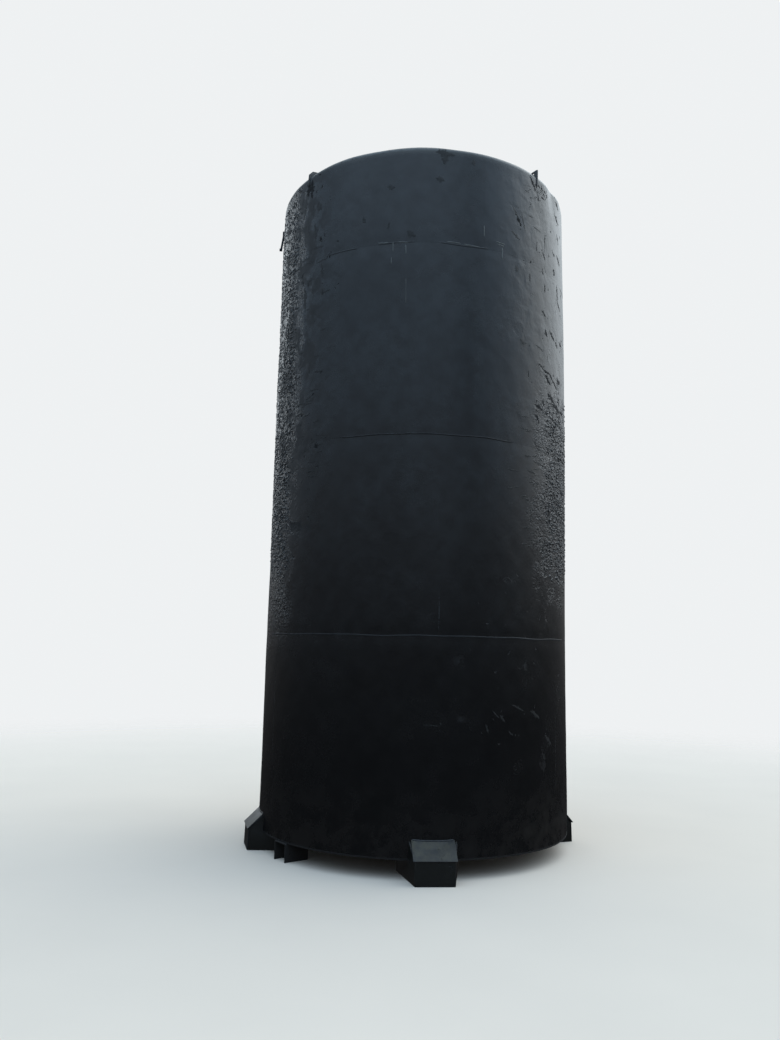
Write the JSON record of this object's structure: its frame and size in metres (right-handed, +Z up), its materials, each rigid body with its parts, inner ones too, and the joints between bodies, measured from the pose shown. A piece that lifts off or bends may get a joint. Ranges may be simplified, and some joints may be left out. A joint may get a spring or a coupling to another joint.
{
  "type": "vertical storage tank",
  "caption": "Upright cylindrical steel storage tank of rolled plate courses with a shallow cone roof, a lidded manhole, lifting lugs and short box legs.",
  "frame": {"origin": "on the ground under the middle of the tank", "axes": "+Z up along the tank's axis, -Y towards the front leg's side as pictured, +X to the right seen from the front"},
  "size_m": [2.6949, 2.7956, 5.8369],
  "materials": {
    "shell_black": "satin black paint, blistered and streaked",
    "weld_black": "painted weld bead",
    "rim_grey": "thin black paint worn to grey",
    "roof_grey": "dusty blue-grey paint",
    "bar_black": "black painted bar",
    "leg_black": "black paint with dust at the foot",
    "leg_top_grey": "faded blue-grey paint, dusty",
    "underside_black": "dull black paint"
  },
  "bodies": {
    "root": {"floor_plate": "underside_black", "course_1_plate_1": "shell_black", "course_1_plate_2": "shell_black", "course_1_plate_3": "shell_black", "course_2_plate_1": "shell_black", "course_2_plate_2": "shell_black", "course_2_plate_3": "shell_black", "course_3_plate_1": "shell_black", "course_3_plate_2": "shell_black", "course_3_plate_3": "shell_black", "course_4_plate_1": "shell_black", "course_4_plate_2": "shell_black", "course_4_plate_3": "shell_black", "girth_weld_1": "weld_black", "girth_weld_2": "weld_black", "girth_weld_3": "weld_black", "roof_rim": "rim_grey", "roof_gore_1": "roof_grey", "roof_gore_2": "roof_grey", "roof_gore_3": "roof_grey", "roof_gore_4": "roof_grey", "manhole_neck": "roof_grey", "manhole_flange": "roof_grey", "manhole_lid": "roof_grey", "lid_hinge_post": "roof_grey", "lid_handle": "bar_black", "lifting_lug_front_left": "rim_grey", "lifting_lug_front_right": "rim_grey", "lifting_lug_rear_right": "rim_grey", "lifting_lug_rear_left": "rim_grey", "side_clip": "bar_black", "leg_front_wall": "leg_black", "leg_front_top": "leg_top_grey", "leg_left_wall": "leg_black", "leg_left_top": "leg_top_grey", "leg_right_wall": "leg_black", "leg_right_top": "leg_top_grey", "leg_rear_wall": "leg_black", "leg_rear_top": "leg_top_grey", "packing_block": "underside_black"}
  },
  "joints": []
}
